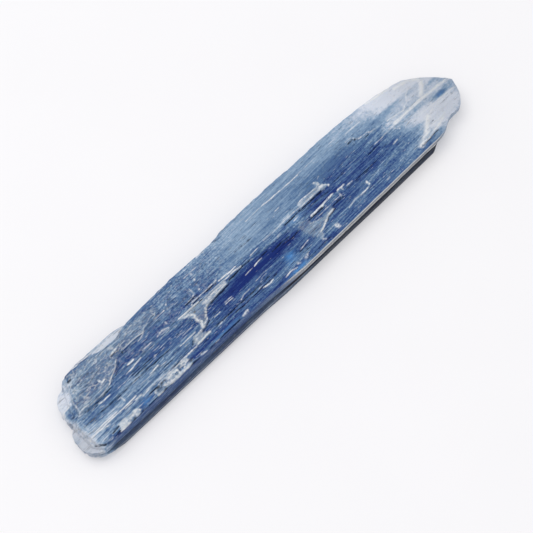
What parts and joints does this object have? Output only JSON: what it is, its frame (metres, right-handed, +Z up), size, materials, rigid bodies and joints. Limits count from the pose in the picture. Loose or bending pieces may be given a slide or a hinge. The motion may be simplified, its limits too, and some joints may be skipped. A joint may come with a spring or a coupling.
{
  "type": "kyanite blade cluster",
  "caption": "Flat slab of parallel kyanite blades grown together, with terraced, striated broad faces, a blunt broken end and a thin pale tip that overhangs.",
  "frame": {"origin": "middle of the piece's bounding box in plan, at the height of the face it lies on", "axes": "+X along the blades from the blunt broken end to the thin pale tip, +Y across them to the ragged long edge, +Z up, square to the cleavage face"},
  "size_m": [0.09, 0.0148, 0.0043],
  "materials": {
    "kyanite": "satin"
  },
  "bodies": {
    "root": {"kyanite_blade_cluster": "kyanite"}
  },
  "joints": []
}
